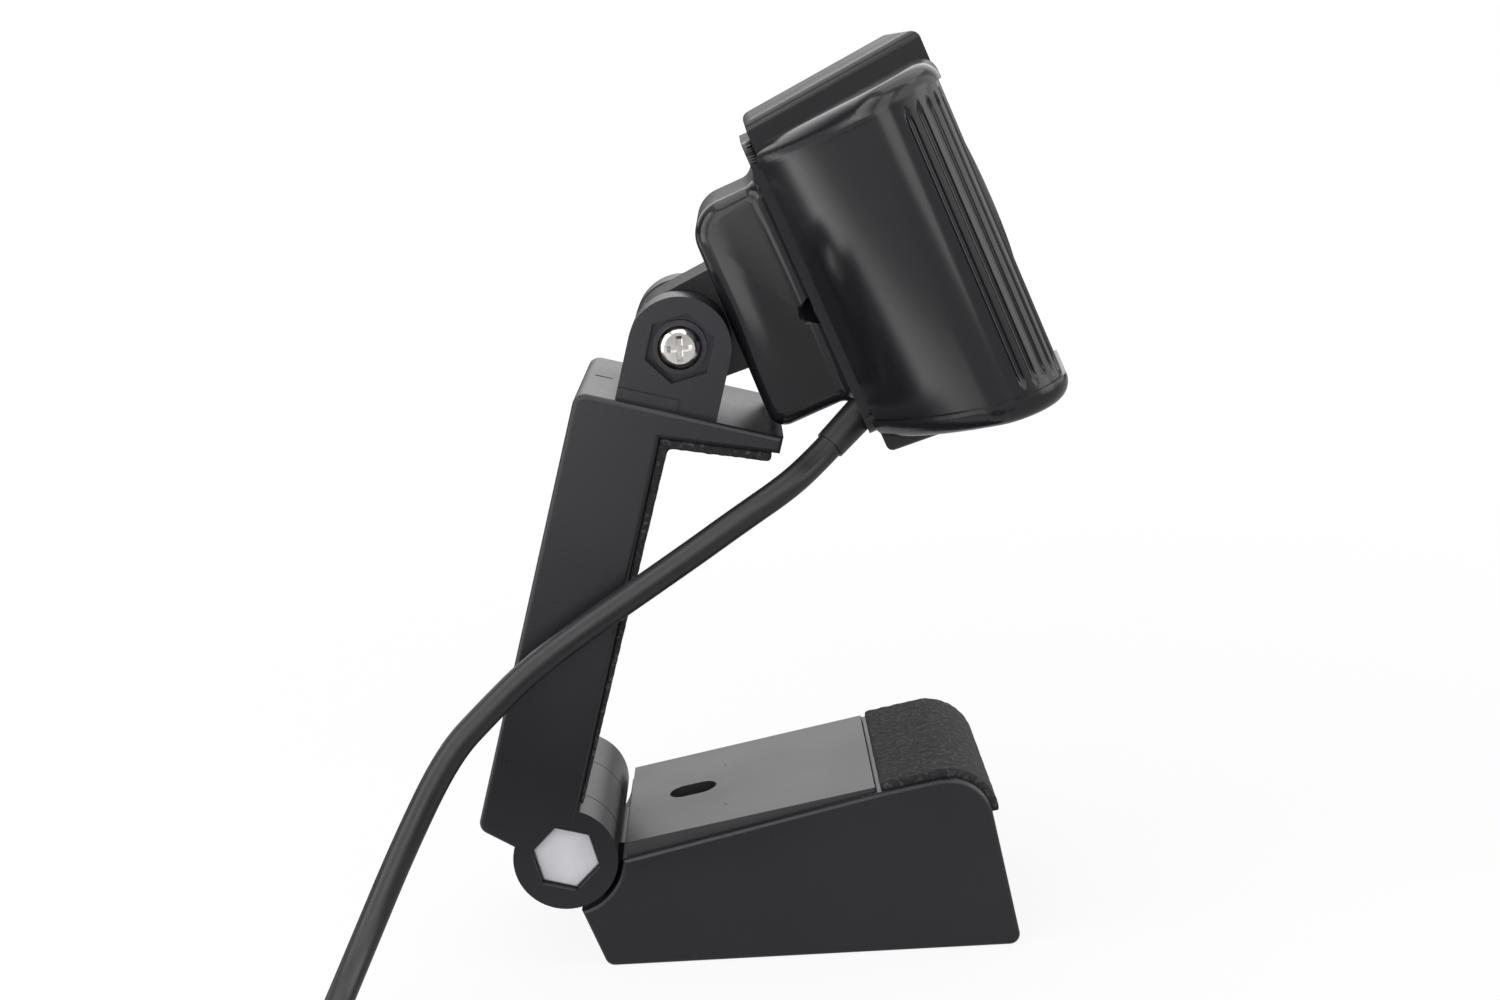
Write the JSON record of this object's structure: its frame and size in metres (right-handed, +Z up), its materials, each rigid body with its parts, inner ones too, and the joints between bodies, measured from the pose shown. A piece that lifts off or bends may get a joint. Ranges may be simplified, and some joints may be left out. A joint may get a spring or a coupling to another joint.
{
  "type": "webcam on folding monitor clip",
  "caption": "USB webcam head with ribbed side wings that tilts on a slim arm, whose folding base hooks over a monitor edge or stands on a desk or tripod",
  "frame": {"origin": "mouth of the tripod socket, in the middle of the underside of the base", "axes": "+X the way the lens looks, +Y to the camera's left, +Z up"},
  "size_m": [0.1045, 0.1569, 0.1207],
  "materials": {
    "body_plastic": "fine-grained satin black moulding",
    "head_plastic": "smooth glossy black moulding",
    "plate_plastic": "smooth satin black moulding",
    "pad_rubber": "fine-grained black rubber foam",
    "steel": "bright zinc-plated steel",
    "brass": "plain turned brass",
    "nylon": "natural nylon",
    "lens_glass": "coated glass",
    "board": "green solder mask",
    "chip": "moulded package",
    "light_guide": "clear acrylic",
    "cord": "satin black jacket"
  },
  "bodies": {
    "base": {"base_shell": "body_plastic", "base_plate": "plate_plastic", "base_pad": "pad_rubber", "tripod_insert": "brass", "base_plate_screws": "steel", "cable_lower": "cord", "cable_coil": "cord", "cable_tail": "cord", "cable_tie": "body_plastic", "plug_body": "body_plastic", "plug_shell": "steel", "plug_tongue": "nylon"},
    "arm": {"arm_shell": "body_plastic", "arm_cover": "body_plastic", "arm_pad": "pad_rubber", "arm_cover_screws": "steel", "hinge_bolt": "steel", "hinge_nut": "steel", "tilt_screw": "steel", "tilt_screw_washer": "steel", "tilt_nut": "steel", "tilt_friction_washers": "nylon", "cable_upper": "cord"},
    "head": {"rear_cover": "head_plastic", "rear_cover_screws": "steel", "head_core": "head_plastic", "side_cover_right": "head_plastic", "side_cover_left": "head_plastic", "front_panel": "head_plastic", "lens_ring": "head_plastic", "lens_holder": "chip", "lens_barrel": "chip", "front_lens": "lens_glass", "ir_filter": "lens_glass", "image_sensor": "chip", "main_pcb": "board", "pcb_screws": "steel", "usb_header": "nylon", "status_led": "nylon", "light_pipe": "light_guide", "microphones": "chip", "microphone_boots": "pad_rubber", "strain_relief": "cord"}
  },
  "joints": [
    {"name": "base_fold", "type": "hinge", "parent": "base", "child": "arm", "pos_m": [-0.033, 0, 0.0156], "axis": [0, 1, 0], "range_deg": [-100, 53], "deforming": ["cable_lower"]},
    {"name": "head_tilt", "type": "hinge", "parent": "arm", "child": "head", "pos_m": [-0.01346, 0, 0.08303], "axis": [0, -1, 0], "range_deg": [0, 95], "deforming": ["cable_upper"]}
  ]
}
